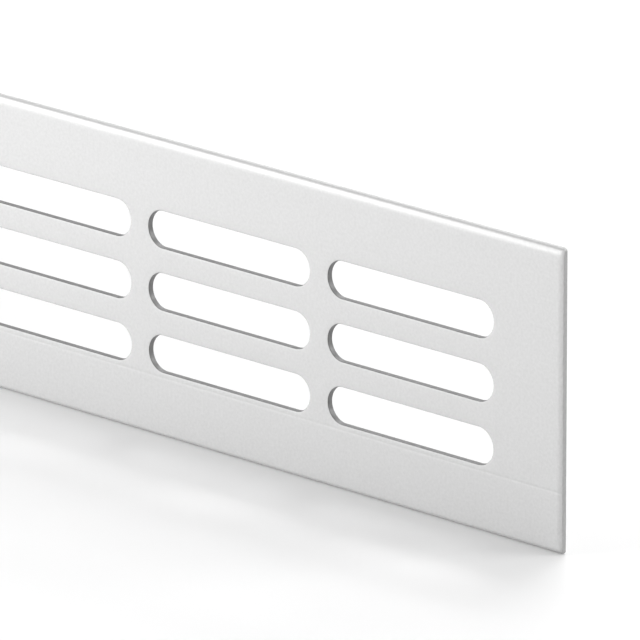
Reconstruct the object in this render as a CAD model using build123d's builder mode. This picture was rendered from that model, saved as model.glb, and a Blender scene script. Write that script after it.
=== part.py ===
from build123d import *
import os

os.makedirs("parts", exist_ok=True)

# A flat aluminium ventilation grille: one rolled strip with rounded long edges, cut square at both
# ends and punched with rows of round-ended slots.
# X runs along the grille, the front faces -Y and Z is up. The origin is the middle of the strip.

# Driving dimensions, in millimetres
plate_thickness = 1.6
# front rounding of the two long edges, and the square rim that it leaves at least at the back
edge_radius = 1.5
least_back_rim = 0.05
# outline corners where the ends are cut off and deburred
corner_radius = 0.8
slot_length = 56.0
slot_width = 10.0
slot_columns = 9
slot_rows = 3
# broken front rim round each slot
slot_rim_break = 0.2
# metal left between two slots of a row, and between two rows
column_bridge = 6.25
row_bridge = 6.7
# plain strip from the outermost slots to the outline
end_margin = 23.0
top_margin = 19.1
bottom_margin = 17.5

# The slot pattern, and the strip that it leaves room round
column_pitch = slot_length + column_bridge
row_pitch = slot_width + row_bridge
pattern_length = slot_columns * column_pitch - column_bridge
pattern_height = slot_rows * row_pitch - row_bridge
plate_length = pattern_length + 2 * end_margin
plate_height = pattern_height + top_margin + bottom_margin
pattern_centre = (bottom_margin - top_margin) / 2

back_plane = Plane.XZ.offset(-plate_thickness / 2)

with BuildPart() as grille_plate:
    # the rolled section, run along the strip
    with BuildSketch(Plane.YZ) as section:
        Rectangle(plate_thickness, plate_height)
        rounding = min(edge_radius, plate_thickness - least_back_rim)
        fillet(section.vertices().group_by(Axis.X)[0], radius=rounding)
    extrude(amount=plate_length / 2, both=True)

    # the outline that the cut ends leave
    with BuildSketch(back_plane):
        RectangleRounded(plate_length, plate_height, corner_radius)
    extrude(amount=plate_thickness, mode=Mode.INTERSECT)

    # the punched slots, each with its front rim broken
    with BuildSketch(back_plane):
        with Locations((0, pattern_centre)):
            with GridLocations(column_pitch, row_pitch, slot_columns, slot_rows):
                SlotOverall(slot_length, slot_width)
    extrude(amount=plate_thickness, mode=Mode.SUBTRACT)
    front_face = grille_plate.faces().sort_by(Axis.Y)[0]
    chamfer(front_face.inner_wires().edges(), length=slot_rim_break)

grille_plate.part.label = "grille_plate"
export_step(grille_plate.part, "parts/grille_plate.step")
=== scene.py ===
"""A flat satin aluminium ventilation grille with rows of round-ended slots, on a pale floor."""
import math
import bmesh
import bpy
from mathutils import Matrix, Vector


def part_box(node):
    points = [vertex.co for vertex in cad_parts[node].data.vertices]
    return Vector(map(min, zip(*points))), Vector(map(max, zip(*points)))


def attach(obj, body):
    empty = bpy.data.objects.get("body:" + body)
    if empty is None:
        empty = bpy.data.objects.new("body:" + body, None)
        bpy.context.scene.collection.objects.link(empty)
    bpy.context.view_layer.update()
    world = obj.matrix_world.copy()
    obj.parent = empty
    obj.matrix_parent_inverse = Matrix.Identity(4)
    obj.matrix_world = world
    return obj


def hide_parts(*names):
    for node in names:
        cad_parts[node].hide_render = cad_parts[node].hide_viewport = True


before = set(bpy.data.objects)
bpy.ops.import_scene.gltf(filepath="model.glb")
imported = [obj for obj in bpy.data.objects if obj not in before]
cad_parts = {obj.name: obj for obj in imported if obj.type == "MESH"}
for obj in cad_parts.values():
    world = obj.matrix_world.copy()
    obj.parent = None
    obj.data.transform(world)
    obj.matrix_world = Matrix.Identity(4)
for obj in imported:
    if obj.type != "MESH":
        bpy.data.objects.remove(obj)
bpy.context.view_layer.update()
MM = 0.001

# The strip, taken from the frame
strip_low, strip_high = (Vector(corner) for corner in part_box("grille_plate"))
length = strip_high.x - strip_low.x
height = strip_high.z - strip_low.z
thickness = strip_high.y - strip_low.y
front = strip_low.y
back = strip_high.y

# The slot pattern
slot_length = 56.0 * MM
slot_width = 10.0 * MM
slot_columns = 9
slot_rows = 3
column_pitch = 62.25 * MM
row_pitch = 16.7 * MM
pattern_centre = -0.8 * MM
# From a slot's middle to the middle of its round end
slot_reach = (slot_length - slot_width) / 2
# Steps round each end of a slot, and along each of its straight sides
slot_arc_steps = 32
slot_side_steps = 4

# The outline, its upper edge a hair lower than the flat strip's, and its corners rounded a little
upper_edge_drop = 0.13 * MM
top = height / 2 - upper_edge_drop
bottom = -height / 2
corner_radius = 0.8 * MM
# Steps along each long edge, each end and each corner
long_edge_steps = 24
end_steps = 130
corner_steps = 10

# The front of the long edges is rounded, beyond a faint shoulder
shoulder_width = 3.3 * MM
shoulder_depth = 0.05 * MM
# The upper rounding is an arc of each radius up to its tilt, and then straight to the back
upper_arcs = ((5.1 * MM, math.radians(22)), (1.0 * MM, math.radians(80)))
# The lower rounding is a quarter of an ellipse
lower_edge_width = 1.2 * MM
lower_edge_depth = 1.5 * MM
# The rim that is left at the back of every edge
least_edge = 0.03 * MM
# Steps across the shoulder, and across the rounding
shoulder_steps = 5
edge_steps = 22

# Punching draws the face in a little beside each slot, and rounds the slot's front rim
draw_width = 1.9 * MM
draw_depth = 0.05 * MM
draw_rings = 7
lip_radius = 0.2 * MM
lip_degrees = (25, 50, 75, 90)
# The flat metal that is left beside what is drawn in or pulled over
plain_ring = 0.2 * MM

# Shearing pulls the face over at the two ends, with ripples of a wavelength, a phase and a share
pull_width = 1.8 * MM
pull_depth = 0.2 * MM
pull_ripples = ((2.9 * MM, 0.5, 0.22), (1.7 * MM, 2.1, 0.16), (5.3 * MM, 4.0, 0.2))

# How near two points are that are welded, and how near to a plane a point is that lies in it
weld_distance = 1e-6
plane_slack = 1e-7
# Edges that turn by more than this are shaded sharp
sharp_angle = math.radians(40)
# The strip's materials by number: the rolled face, the slots' walls and the sheared ends
FACE, WALL, END = range(3)

# The range that noise mostly stays in
noise_low = 0.3
noise_high = 0.7

# How far the floor reaches to each side
floor_reach = 4.0


def add_object(name, data):
    """A new object in the scene that shows a mesh, light or camera."""
    obj = bpy.data.objects.new(name, data)
    bpy.context.scene.collection.objects.link(obj)
    return obj


def new_group(name, inputs, outputs):
    """A shader node group with these sockets. Returns its tree, input node and output node."""
    tree = bpy.data.node_groups.new(name, "ShaderNodeTree")
    for socket, kind, value in inputs:
        item = tree.interface.new_socket(socket, in_out="INPUT", socket_type=kind)
        if value is not None:
            item.default_value = value
    for socket, kind in outputs:
        tree.interface.new_socket(socket, in_out="OUTPUT", socket_type=kind)
    return tree, tree.nodes.new("NodeGroupInput"), tree.nodes.new("NodeGroupOutput")


def maths(tree, operation, *values):
    """A Math node on links or numbers. Returns its output."""
    node = tree.nodes.new("ShaderNodeMath")
    node.operation = operation
    for index, value in enumerate(values):
        if isinstance(value, (int, float)):
            node.inputs[index].default_value = value
        else:
            tree.links.new(value, node.inputs[index])
    return node.outputs[0]


def noise(tree, position, per_metre):
    """A noise texture of a position and a density. Returns its value."""
    texture = tree.nodes.new("ShaderNodeTexNoise")
    texture.inputs["Detail"].default_value = 2.0
    tree.links.new(position, texture.inputs["Vector"])
    tree.links.new(per_metre, texture.inputs["Scale"])
    return texture.outputs["Fac"]


def axes_of(tree, position):
    """A position's X, Y and Z as separate outputs."""
    split = tree.nodes.new("ShaderNodeSeparateXYZ")
    tree.links.new(position, split.inputs[0])
    return split.outputs


def fine_grain_group():
    """The very fine matt grain of etched metal: its height, and a tone with a few clouds in it."""
    tree, inside, out = new_group(
        "fine grain",
        [
            ("Position", "NodeSocketVector", None),
            ("Grains per metre", "NodeSocketFloat", 1300.0),
            ("Clouds per metre", "NodeSocketFloat", 400.0),
            ("Share of clouds", "NodeSocketFloat", 0.1),
        ],
        [("Height", "NodeSocketFloat"), ("Tone", "NodeSocketFloat")],
    )
    grain = noise(tree, inside.outputs["Position"], inside.outputs["Grains per metre"])
    cloud = noise(tree, inside.outputs["Position"], inside.outputs["Clouds per metre"])
    apart = maths(tree, "SUBTRACT", cloud, grain)
    clouded = maths(tree, "MULTIPLY", apart, inside.outputs["Share of clouds"])
    tree.links.new(grain, out.inputs["Height"])
    tree.links.new(maths(tree, "ADD", grain, clouded), out.inputs["Tone"])
    return tree


def die_line_group():
    """A faint line along the strip, a shallow groove at one height."""
    tree, inside, out = new_group(
        "die line",
        [
            ("Position", "NodeSocketVector", None),
            ("Line height", "NodeSocketFloat", 0.0),
            ("Half width", "NodeSocketFloat", 0.0005),
        ],
        [("Height", "NodeSocketFloat")],
    )
    z = axes_of(tree, inside.outputs["Position"])["Z"]
    away = maths(tree, "SUBTRACT", z, inside.outputs["Line height"])
    share = maths(tree, "DIVIDE", away, inside.outputs["Half width"])
    square = maths(tree, "MULTIPLY", share, share)
    bell = maths(tree, "EXPONENT", maths(tree, "MULTIPLY", square, -1.0))
    tree.links.new(maths(tree, "MULTIPLY", bell, -1.0), out.inputs["Height"])
    return tree


def painted_end_shade_group():
    """A mask for painted shade beside the cut ends, where the face is pulled over, uneven: 0 at
    Reach away and 1 at the cut.
    """
    tree, inside, out = new_group(
        "dulling beside a cut",
        [
            ("Position", "NodeSocketVector", None),
            ("Half length", "NodeSocketFloat", 0.3),
            ("Reach", "NodeSocketFloat", 0.002),
            ("Patches per metre", "NodeSocketFloat", 500.0),
        ],
        [("Mask", "NodeSocketFloat")],
    )
    x = axes_of(tree, inside.outputs["Position"])["X"]
    away = maths(tree, "SUBTRACT", inside.outputs["Half length"], maths(tree, "ABSOLUTE", x))
    patches = noise(tree, inside.outputs["Position"], inside.outputs["Patches per metre"])
    # Noise is around a half, so the sum is around one
    uneven = maths(tree, "ADD", patches, 0.5)
    reach = maths(tree, "MULTIPLY", inside.outputs["Reach"], uneven)
    mask = maths(tree, "SUBTRACT", 1.0, maths(tree, "DIVIDE", away, reach))
    tree.links.new(maths(tree, "MAXIMUM", mask, 0.0), out.inputs["Mask"])
    return tree


def new_material(name, values):
    """A material with these values on its shader's sockets."""
    material = bpy.data.materials.new(name)
    material.use_nodes = True
    shader = material.node_tree.nodes["Principled BSDF"]
    for socket, value in values.items():
        shader.inputs[socket].default_value = value
    return material


def into_shader(material, output, socket):
    """Links an output to a socket of the material's shader."""
    tree = material.node_tree
    tree.links.new(output, tree.nodes["Principled BSDF"].inputs[socket])


def place_group(material, group, values):
    """Puts a node group in a material, on Object coordinates. Returns its outputs."""
    tree = material.node_tree
    node = tree.nodes.new("ShaderNodeGroup")
    node.node_tree = group
    where = tree.nodes.new("ShaderNodeTexCoord")
    tree.links.new(where.outputs["Object"], node.inputs["Position"])
    for socket, value in values.items():
        node.inputs[socket].default_value = value
    return node.outputs


def bump_chain(material, heights):
    """Bump nodes in a row into the shader's normal, one for each (height output, metres)."""
    tree = material.node_tree
    last = None
    for output, distance in heights:
        bump = tree.nodes.new("ShaderNodeBump")
        bump.inputs["Strength"].default_value = 1.0
        bump.inputs["Distance"].default_value = distance
        tree.links.new(output, bump.inputs["Height"])
        if last is not None:
            tree.links.new(last.outputs["Normal"], bump.inputs["Normal"])
        last = bump
    into_shader(material, last.outputs["Normal"], "Normal")


def tone_ramp(material, value, low, high, painted_shade=None, shaded_share=1.0):
    """A grey from low to high by a noise value, made darker where a mask paints shade, down to the
    given share of it.
    """
    tree = material.node_tree
    ramp = tree.nodes.new("ShaderNodeMapRange")
    ramp.inputs["From Min"].default_value = noise_low
    ramp.inputs["From Max"].default_value = noise_high
    ramp.inputs["To Min"].default_value = low
    ramp.inputs["To Max"].default_value = high
    tree.links.new(value, ramp.inputs["Value"])
    tone = ramp.outputs["Result"]
    # Painted shade: the grey is darkened where the mask is
    if painted_shade is not None:
        loss = maths(tree, "MULTIPLY", painted_shade, 1.0 - shaded_share)
        tone = maths(tree, "MULTIPLY", tone, maths(tree, "SUBTRACT", 1.0, loss))
    colour = tree.nodes.new("ShaderNodeCombineColor")
    for channel in ("Red", "Green", "Blue"):
        tree.links.new(tone, colour.inputs[channel])
    into_shader(material, colour.outputs["Color"], "Base Color")


def anodised_face(grain, die_line, painted_end_shade):
    """Natural anodised aluminium for the rolled faces and edges: etched metal under clear oxide."""
    material = new_material(
        "satin anodised aluminium",
        {
            "Metallic": 1.0,
            "Roughness": 0.75,
            "Coat Weight": 1.0,
            "Coat Roughness": 0.27,
            "Coat IOR": 1.65,
        },
    )
    fine = place_group(material, grain, {})
    line = place_group(material, die_line, {"Line height": -23.88 * MM, "Half width": 0.39 * MM})
    # Painted shade beside the two cut ends, standing in for the shade of the pulled-over rim
    end_shade = place_group(material, painted_end_shade, {"Half length": length / 2, "Reach": 1.8 * MM})
    bump_chain(material, [(line["Height"], 0.052 * MM), (fine["Height"], 0.005 * MM)])
    # The grey falls to nine tenths at the cut ends, as painted shade
    tone_ramp(material, fine["Tone"], low=0.617, high=0.663, painted_shade=end_shade["Mask"], shaded_share=0.9)
    return material


def cut_metal(name, grain, darkest, lightest):
    """Metal that a punch or shear has cut through: duller, with the tool's marks."""
    material = new_material(name, {"Metallic": 1.0, "Roughness": 0.5})
    fine = place_group(material, grain, {"Clouds per metre": 900.0, "Share of clouds": 0.6})
    bump_chain(material, [(fine["Height"], 0.02 * MM)])
    tone_ramp(material, fine["Tone"], low=darkest, high=lightest)
    return material


def draw_in(distance):
    """How far the face is drawn in at a distance from a slot's wall."""
    left = max(0.0, 1.0 - distance / draw_width)
    return draw_depth * left * left


def pulled_over(x, z):
    """How far shearing has pulled the face over near the strip's two ends."""
    near = max(0.0, 1.0 - (length / 2 - abs(x)) / pull_width)
    ripples = sum(
        share * math.sin(2 * math.pi * z / wave + phase) for wave, phase, share in pull_ripples
    )
    return pull_depth * near * near * (1 + ripples)


def flat(loop, y):
    """A loop's points in the plane at y."""
    return [(x, y, z) for x, z in loop]


def turn(x, z, radius, degrees):
    """The point on a circle round (x, z), at an angle from the right upwards."""
    angle = math.radians(degrees)
    return x + radius * math.cos(angle), z + radius * math.sin(angle)


def slot_loop(grow):
    """Points round a slot's outline moved out by grow, from the lower left round by the right."""
    radius = slot_width / 2 + grow
    arcs, sides = range(slot_arc_steps), range(slot_side_steps)
    points = [(-slot_reach + 2 * slot_reach * i / slot_side_steps, -radius) for i in sides]
    points += [turn(slot_reach, 0.0, radius, -90 + 180 * i / slot_arc_steps) for i in arcs]
    points += [(slot_reach - 2 * slot_reach * i / slot_side_steps, radius) for i in sides]
    points += [turn(-slot_reach, 0.0, radius, 90 + 180 * i / slot_arc_steps) for i in arcs]
    return points


def cell_loop():
    """The cell's rectangle, one point for each point of slot_loop, with a point on each corner."""
    wide, tall = column_pitch / 2, row_pitch / 2
    quarter = slot_arc_steps // 4
    sides = range(slot_side_steps)
    half = [(-slot_reach + 2 * slot_reach * i / slot_side_steps, -tall) for i in sides]
    half += [(slot_reach + (wide - slot_reach) * i / quarter, -tall) for i in range(quarter)]
    half += [(wide, -tall + 2 * tall * i / (2 * quarter)) for i in range(2 * quarter)]
    half += [(wide - (wide - slot_reach) * i / quarter, tall) for i in range(quarter)]
    return half + [(-x, -z) for x, z in half]


def bridge(bm, loops, cut=()):
    """Quads between neighbouring loops. cut holds the numbers of the bands that are cut metal."""
    layer = bm.faces.layers.bool.get("cut") or bm.faces.layers.bool.new("cut")
    rows = [[bm.verts.new(point) for point in loop] for loop in loops]
    for band, (outer, inner) in enumerate(zip(rows, rows[1:])):
        count = len(outer)
        for i in range(count):
            j = (i + 1) % count
            face = bm.faces.new((outer[i], outer[j], inner[j], inner[i]))
            face.smooth = True
            face[layer] = band in cut


def slot_cell():
    """One slot with the metal round it: face, drawn-in rim, rounded lip, wall and back."""
    loops = [flat(cell_loop(), front), flat(slot_loop(draw_width + plain_ring), front)]
    for i in range(draw_rings):
        grow = draw_width + (lip_radius - draw_width) * i / (draw_rings - 1)
        loops.append(flat(slot_loop(grow), front + draw_in(grow)))
    lip_start = len(loops)
    rim = front + draw_in(lip_radius)
    for degrees in lip_degrees:
        angle = math.radians(degrees)
        grow = lip_radius * (1 - math.sin(angle))
        loops.append(flat(slot_loop(grow), rim + lip_radius * (1 - math.cos(angle))))
    wall_end = len(loops)
    loops.append(flat(slot_loop(0.0), back))
    loops.append(flat(cell_loop(), back))
    bm = bmesh.new()
    # The lip from 25 degrees on takes the walls' darker tone, which paints shade on the slot's
    # rounded rim
    bridge(bm, loops, cut=range(lip_start, wall_end))
    mesh = bpy.data.meshes.new("slot cell")
    bm.to_mesh(mesh)
    bm.free()
    return bpy.data.objects.new("slot cell", mesh)


def punched_field(cell):
    """Repeats the cell in rows and columns with Geometry Nodes into a plain mesh, and removes it."""
    tree = bpy.data.node_groups.new("punched rows", "GeometryNodeTree")
    settings = []
    for name, kind, value in (
        ("Columns", "NodeSocketInt", slot_columns),
        ("Rows", "NodeSocketInt", slot_rows),
        ("Column pitch", "NodeSocketFloat", column_pitch),
        ("Row pitch", "NodeSocketFloat", row_pitch),
        ("Pattern height", "NodeSocketFloat", pattern_centre),
    ):
        item = tree.interface.new_socket(name, in_out="INPUT", socket_type=kind)
        settings.append((item.identifier, value))
    tree.interface.new_socket("Geometry", in_out="OUTPUT", socket_type="NodeSocketGeometry")
    inside, out = tree.nodes.new("NodeGroupInput"), tree.nodes.new("NodeGroupOutput")
    link = tree.links.new

    def span(pitch, count):
        """The distance from the first to the last of count points at a pitch."""
        gaps = maths(tree, "SUBTRACT", inside.outputs[count], 1.0)
        return maths(tree, "MULTIPLY", inside.outputs[pitch], gaps)

    grid = tree.nodes.new("GeometryNodeMeshGrid")
    link(span("Column pitch", "Columns"), grid.inputs["Size X"])
    link(span("Row pitch", "Rows"), grid.inputs["Size Y"])
    link(inside.outputs["Columns"], grid.inputs["Vertices X"])
    link(inside.outputs["Rows"], grid.inputs["Vertices Y"])
    upright = tree.nodes.new("GeometryNodeTransform")
    upright.inputs["Rotation"].default_value = (math.pi / 2, 0.0, 0.0)
    link(grid.outputs["Mesh"], upright.inputs["Geometry"])
    lift = tree.nodes.new("ShaderNodeCombineXYZ")
    link(inside.outputs["Pattern height"], lift.inputs["Z"])
    link(lift.outputs[0], upright.inputs["Translation"])
    source = tree.nodes.new("GeometryNodeObjectInfo")
    source.inputs["Object"].default_value = cell
    copies = tree.nodes.new("GeometryNodeInstanceOnPoints")
    link(upright.outputs["Geometry"], copies.inputs["Points"])
    link(source.outputs["Geometry"], copies.inputs["Instance"])
    real = tree.nodes.new("GeometryNodeRealizeInstances")
    link(copies.outputs["Instances"], real.inputs["Geometry"])
    weld = tree.nodes.new("GeometryNodeMergeByDistance")
    weld.inputs["Distance"].default_value = weld_distance
    link(real.outputs["Geometry"], weld.inputs["Geometry"])
    link(weld.outputs["Geometry"], out.inputs["Geometry"])

    carrier = add_object("punched field", bpy.data.meshes.new("punched field"))
    modifier = carrier.modifiers.new("punched rows", "NODES")
    modifier.node_group = tree
    for identifier, value in settings:
        modifier[identifier] = value
    evaluated = carrier.evaluated_get(bpy.context.evaluated_depsgraph_get())
    mesh = bpy.data.meshes.new_from_object(evaluated)
    # An object goes with its mesh
    for used in (carrier, cell):
        bpy.data.meshes.remove(used.data)
    return mesh


def outline_loop(inset):
    """Points round the outline moved in by inset, from the lower left round by the right."""
    radius = max(corner_radius - inset, 0.0)
    wide, high, low = length / 2 - inset - radius, top - inset - radius, bottom + inset + radius
    points = [(-wide, low - radius)]
    for x, z, start in ((wide, low, -90), (wide, high, 0), (-wide, high, 90), (-wide, low, 180)):
        before, first = points[-1], turn(x, z, radius, start)
        steps = long_edge_steps if start in (-90, 90) else end_steps
        for i in range(1, steps):
            points.append(tuple(a + (b - a) * i / steps for a, b in zip(before, first)))
        for i in range(corner_steps + 1):
            points.append(turn(x, z, radius, start + 90 * i / corner_steps))
    return points[1:]


def upper_edge():
    """The upper rounding from the face up: (height, depth, tilt) where each part begins or ends."""
    knots = [(0.0, 0.0, 0.0)]
    for radius, tilt in upper_arcs:
        up, deep, last = knots[-1]
        up += radius * (math.sin(tilt) - math.sin(last))
        knots.append((up, deep + radius * (math.cos(last) - math.cos(tilt)), tilt))
    up, deep, last = knots[-1]
    return knots + [(up + (thickness - deep) / math.tan(last), thickness, last)]


def upper_rounding(from_edge, knots):
    """How far the upper edge's rounding lies back at a distance below the top."""
    up = knots[-1][0] - from_edge
    if up <= 0:
        return 0.0
    for (radius, tilt), (low, deep, start), (high, _, _) in zip(upper_arcs, knots, knots[1:]):
        if up <= high:
            there = math.asin(min(1.0, math.sin(start) + (up - low) / radius))
            return deep + radius * (math.cos(start) - math.cos(there))
    low, deep, start = knots[-2]
    return deep + (up - low) * math.tan(start)


def lower_rounding(from_edge):
    """How far the lower edge's rounding lies back at a distance above the bottom."""
    rise = max(0.0, 1.0 - from_edge / lower_edge_width)
    return lower_edge_depth * (1 - math.sqrt(max(0.0, 1 - rise * rise)))


def border_depth(x, z, knots):
    """How far the front lies back near the outline, by shoulder, rounding and pulled-over end."""
    from_edge = max(min(top - z, z - bottom), 0.0)
    rounding = upper_rounding(from_edge, knots) if z > 0 else lower_rounding(from_edge)
    shoulder = shoulder_depth * max(0.0, 1.0 - from_edge / shoulder_width) ** 3
    return min(rounding + shoulder + pulled_over(x, z), thickness - least_edge)


def strip_border(bm):
    """The plain metal round the slots: the rounded long edges, the cut ends and the back's rim."""
    knots = upper_edge()
    edge_width = knots[-1][0]
    widest = max(shoulder_width, pull_width)
    insets = [widest + plain_ring]
    insets += [widest + (edge_width - widest) * i / shoulder_steps for i in range(shoulder_steps)]
    for i in range(edge_steps + 1):
        insets.append(edge_width * (1 - math.sin(math.radians(90 * i / edge_steps))))
    loops = []
    for inset in insets:
        loops.append([(x, front + border_depth(x, z, knots), z) for x, z in outline_loop(inset)])
    loops.append(flat(outline_loop(0.0), back))
    bridge(bm, loops)


def open_edges(bm, y):
    """The edges with one face that lie in the plane at y."""
    open_ones = [edge for edge in bm.edges if edge.is_boundary]
    return [e for e in open_ones if all(abs(v.co.y - y) < plane_slack for v in e.verts)]


def punched_strip(face_material, wall_material, end_material):
    """The whole strip as one closed mesh, the punched field set into its border."""
    field = punched_field(slot_cell())
    bm = bmesh.new()
    bm.from_mesh(field)
    bpy.data.meshes.remove(field)
    strip_border(bm)
    bmesh.ops.remove_doubles(bm, verts=bm.verts, dist=weld_distance)
    for y in (front, back):
        edges = open_edges(bm, y)
        filled = bmesh.ops.triangle_fill(bm, edges=edges, use_beauty=True, normal=(0.0, 1.0, 0.0))
        for made in filled["geom"]:
            if isinstance(made, bmesh.types.BMFace):
                made.smooth = True
    bmesh.ops.recalc_face_normals(bm, faces=bm.faces)
    cut = bm.faces.layers.bool["cut"]
    end_from = length / 2 - corner_radius / 4
    for face in bm.faces:
        at_end = abs(face.calc_center_median().x) > end_from and abs(face.normal.x) > 0.5
        face.material_index = END if at_end else WALL if face[cut] else FACE
    mesh = bpy.data.meshes.new("punched_strip")
    for material in (face_material, wall_material, end_material):
        mesh.materials.append(material)
    bm.to_mesh(mesh)
    bm.free()
    mesh.set_sharp_from_angle(angle=sharp_angle)
    return add_object("punched_strip", mesh)


def compass(azimuth, elevation):
    """The direction at an azimuth and elevation in degrees. Azimuth 0 is in front, 90 is right."""
    a, e = math.radians(azimuth), math.radians(elevation)
    return Vector((math.sin(a) * math.cos(e), -math.cos(a) * math.cos(e), math.sin(e)))


def look_from(target, azimuth, elevation, distance, roll=0.0):
    """A world matrix for what looks at target from a direction, rolled about its line of sight."""
    away = compass(azimuth, elevation)
    aimed = (-away).to_track_quat("-Z", "Y").to_matrix().to_4x4()
    turned = aimed @ Matrix.Rotation(math.radians(roll), 4, "Z")
    turned.translation = target + away * distance
    return turned


def softbox(name, azimuth, elevation, distance, size, power):
    """An area light, its size given across and up, aimed at the middle of what the camera sees."""
    light = bpy.data.lights.new(name, "AREA")
    light.shape = "RECTANGLE"
    light.size, light.size_y = size
    light.energy = power
    add_object(name, light).matrix_world = look_from(view_centre, azimuth, elevation, distance)


def studio_floor():
    """A pale satin floor under the strip's lower edge."""
    bm = bmesh.new()
    bmesh.ops.create_grid(bm, x_segments=1, y_segments=1, size=floor_reach)
    mesh = bpy.data.meshes.new("studio_floor")
    bm.to_mesh(mesh)
    bm.free()
    mesh.transform(Matrix.Translation((0.0, 0.0, strip_low.z)))
    pale = {"Base Color": (0.92, 0.92, 0.92, 1.0), "Roughness": 0.45}
    mesh.materials.append(new_material("pale floor", pale))
    return add_object("studio_floor", mesh)


grain = fine_grain_group()
satin = anodised_face(grain, die_line_group(), painted_end_shade_group())
# The slots' walls are duller cut metal; their tone, about half that of the sheared ends, is also
# painted shade for the inside of the slots
punched = cut_metal("punched slot wall", grain, darkest=0.18, lightest=0.24)
sheared = cut_metal("sheared end", grain, darkest=0.4, lightest=0.46)
strip = punched_strip(satin, punched, sheared)
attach(strip, "root")
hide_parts("grille_plate")
studio_floor()

# The camera looks along a long lens from the right and above
view_centre = Vector((218.345 * MM, front, 3.7 * MM))
camera_data = bpy.data.cameras.new("camera")
camera_data.lens = 633.49
camera_data.sensor_width = 36.0
camera_data.clip_end = 50.0
camera = add_object("camera", camera_data)
camera.matrix_world = look_from(
    view_centre, azimuth=42.6968, elevation=18.0195, distance=2.84082, roll=-0.0688
)
bpy.context.scene.camera = camera

# An even white studio round the strip
world = bpy.data.worlds.new("studio")
world.use_nodes = True
background = world.node_tree.nodes["Background"]
background.inputs["Color"].default_value = (1.0, 1.0, 1.0, 1.0)
background.inputs["Strength"].default_value = 0.56
bpy.context.scene.world = world
bpy.context.scene.view_settings.view_transform = "Standard"

# Panels behind and to the left throw the soft shadow in front
panel_azimuth = 203
panel_distance = 1.6
for elevation, power in ((30, 4.7), (60, 1.7)):
    name = f"wide panel behind at {elevation} degrees"
    softbox(name, panel_azimuth, elevation, panel_distance, size=(1.6, 0.25), power=power)
for elevation, power in ((45, 0.9), (53, 1.2), (61, 1.3), (69, 1.9)):
    name = f"narrow panel behind at {elevation} degrees"
    softbox(name, panel_azimuth, elevation, panel_distance, size=(0.55, 0.22), power=power)

# The others fill from the front left and from behind on the right
for name, azimuth, elevation, distance, size, power in (
    ("softbox, front left", -46, 18, 0.9, (0.7, 0.36), 3.75),
    ("long low softbox, front left", -43, 4, 1.5, (1.2, 0.3), 3.5),
    ("softbox behind, right", 130, 30, 1.2, (0.6, 0.6), 4.2),
):
    softbox(name, azimuth, elevation, distance, size, power)
